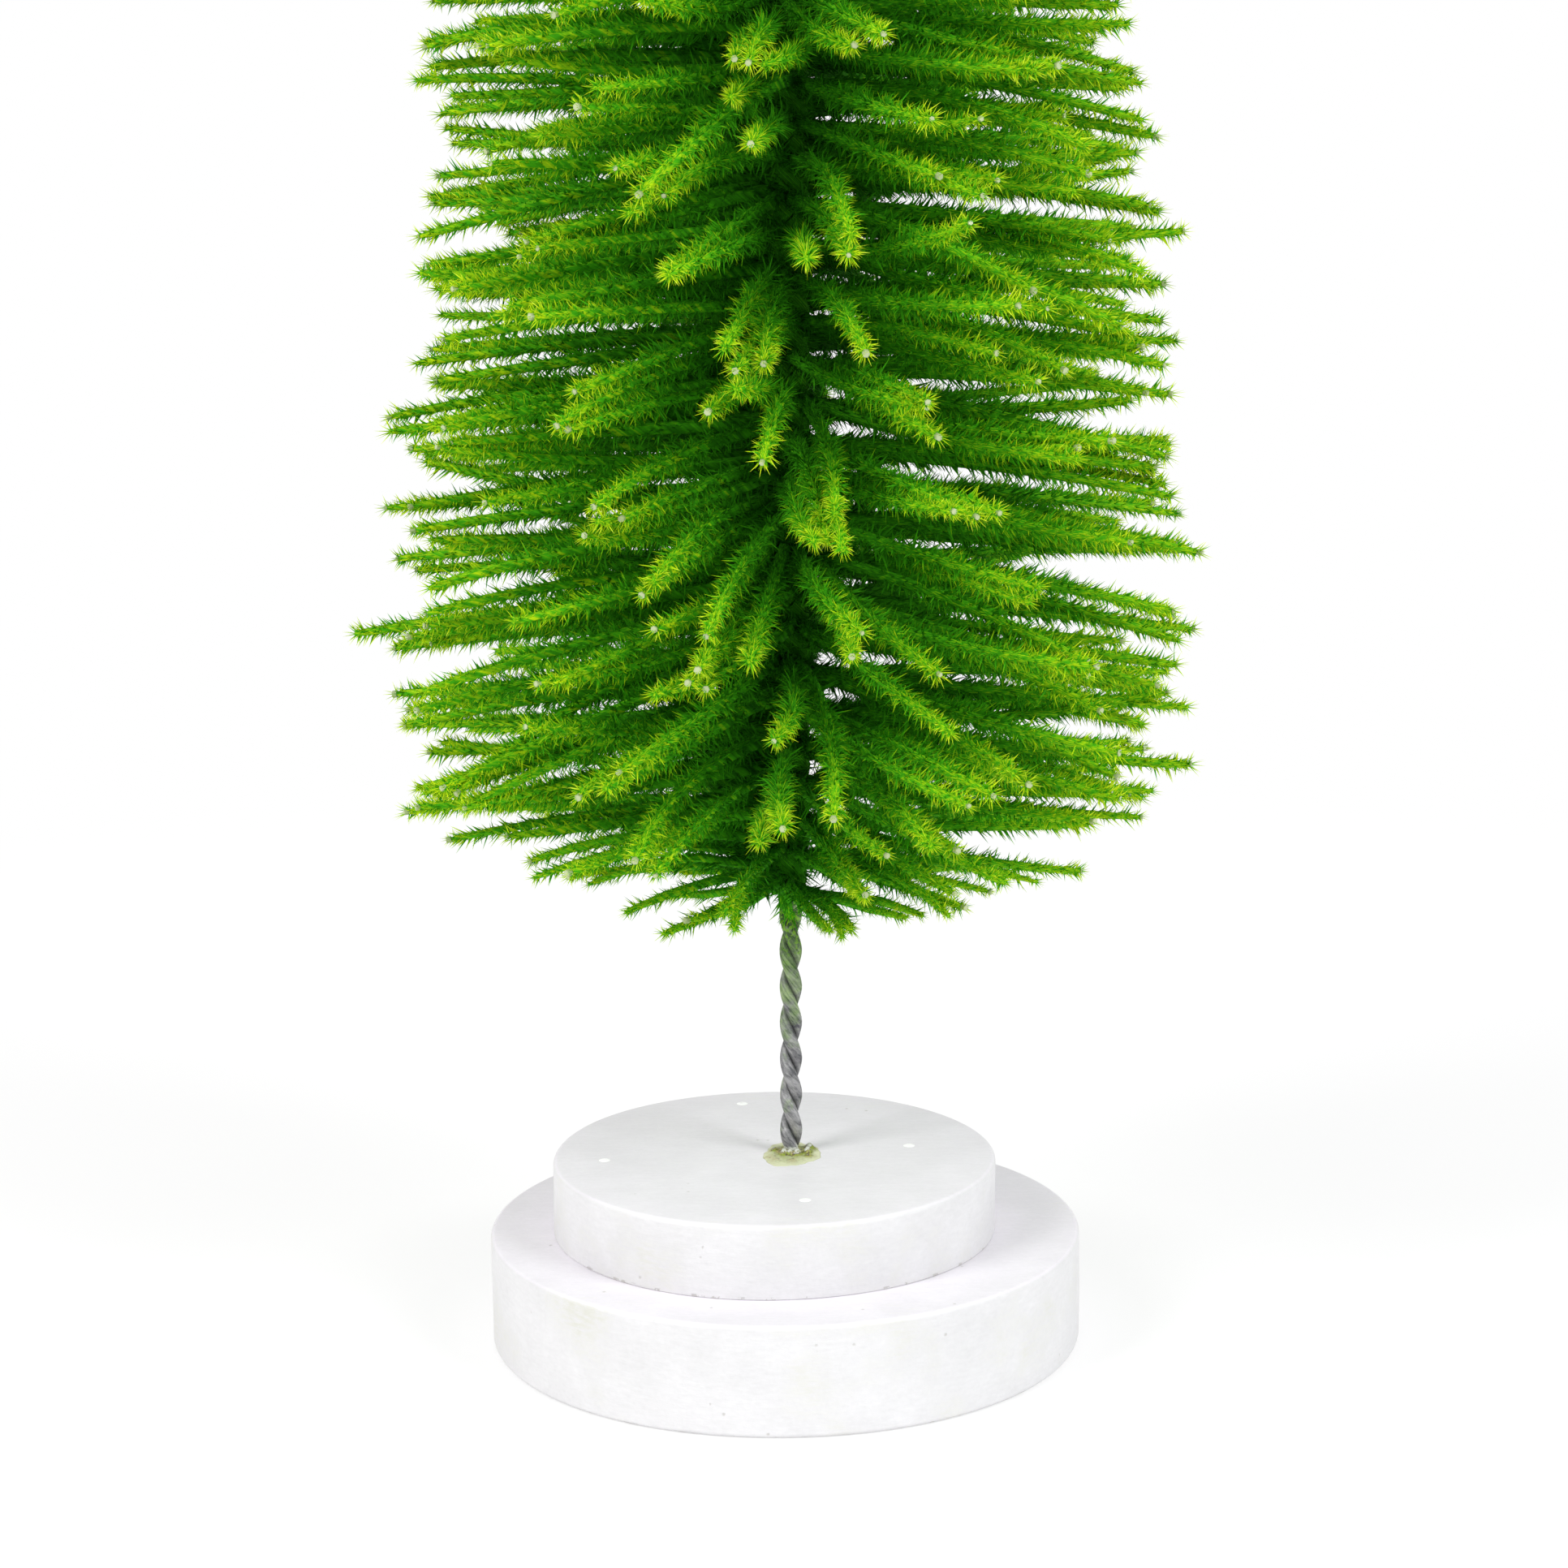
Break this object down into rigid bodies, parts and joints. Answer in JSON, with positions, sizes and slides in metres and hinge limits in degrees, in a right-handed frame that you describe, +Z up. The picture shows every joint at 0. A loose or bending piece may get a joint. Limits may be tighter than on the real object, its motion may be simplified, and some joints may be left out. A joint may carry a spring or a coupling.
{
  "type": "bottle brush tree",
  "caption": "Tabletop bottle brush tree with flocked bristles clamped in a twisted wire trunk, standing on a stepped round wooden base.",
  "frame": {"origin": "centre of the plinth's underside", "axes": "+Z up along the trunk, the picture's camera looks along +Y with +X to its right"},
  "size_m": [0.1364, 0.1367, 0.4572],
  "materials": {
    "painted_wood": "brushed matt white paint",
    "brad_steel": "painted over, a little bright",
    "dried_glue": "dried glue with green flock dust",
    "twisted_steel": "dull zinc, with green flock dust higher up",
    "green_flock": "lime green flocked pile"
  },
  "bodies": {
    "root": {"base_cap": "painted_wood", "base_plinth": "painted_wood", "brad_nails": "brad_steel", "bristle_turn_01": "green_flock", "bristle_turn_02": "green_flock", "bristle_turn_03": "green_flock", "bristle_turn_04": "green_flock", "bristle_turn_05": "green_flock", "bristle_turn_06": "green_flock", "bristle_turn_07": "green_flock", "bristle_turn_08": "green_flock", "bristle_turn_09": "green_flock", "bristle_turn_10": "green_flock", "bristle_turn_11": "green_flock", "bristle_turn_12": "green_flock", "bristle_turn_13": "green_flock", "bristle_turn_14": "green_flock", "bristle_turn_15": "green_flock", "bristle_turn_16": "green_flock", "bristle_turn_17": "green_flock", "bristle_turn_18": "green_flock", "bristle_turn_19": "green_flock", "bristle_turn_20": "green_flock", "bristle_turn_21": "green_flock", "bristle_turn_22": "green_flock", "bristle_turn_23": "green_flock", "bristle_turn_24": "green_flock", "bristle_turn_25": "green_flock", "bristle_turn_26": "green_flock", "bristle_turn_27": "green_flock", "bristle_turn_28": "green_flock", "bristle_turn_29": "green_flock", "bristle_turn_30": "green_flock", "glue_bead": "dried_glue", "trunk_wire_a": "twisted_steel", "trunk_wire_b": "twisted_steel"}
  },
  "joints": []
}
